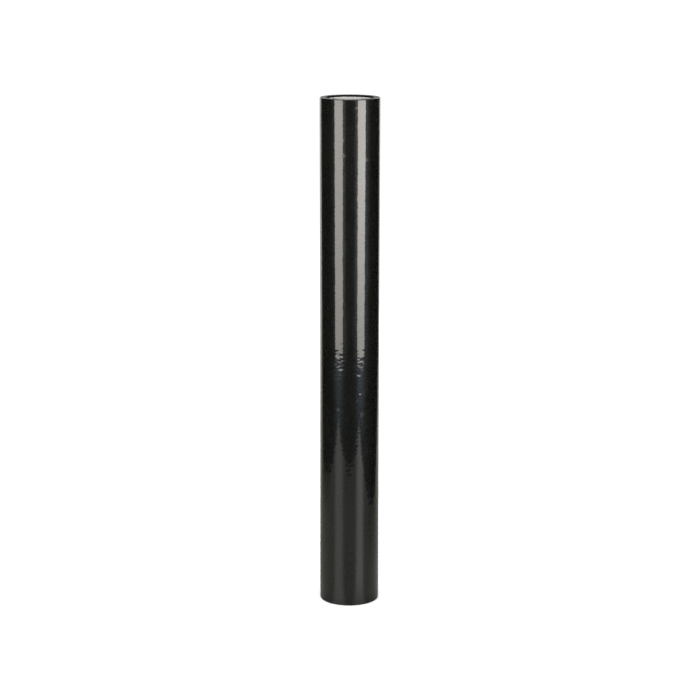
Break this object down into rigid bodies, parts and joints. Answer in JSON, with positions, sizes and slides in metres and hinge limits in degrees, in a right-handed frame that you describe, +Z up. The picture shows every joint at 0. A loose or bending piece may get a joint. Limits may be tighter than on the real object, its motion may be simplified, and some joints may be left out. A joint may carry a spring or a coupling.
{
  "type": "protective film roll",
  "caption": "Upright roll of glossy black protective film wound tight on a hollow pale grey paper core, whose ends sit just inside the film's end faces.",
  "frame": {"origin": "centre of the roll's lower end face, on the surface it stands on", "axes": "+Z up along the roll's axis; X and Y lie in the end face, and the picture looks along +Y"},
  "size_m": [0.0582, 0.0581, 0.5],
  "materials": {
    "black_film": "glossy black polyethylene film with faint fine ripples",
    "paper_core": "matt pale grey paperboard, spiral wound"
  },
  "bodies": {
    "root": {"film_winding": "black_film", "core_tube": "paper_core"}
  },
  "joints": []
}
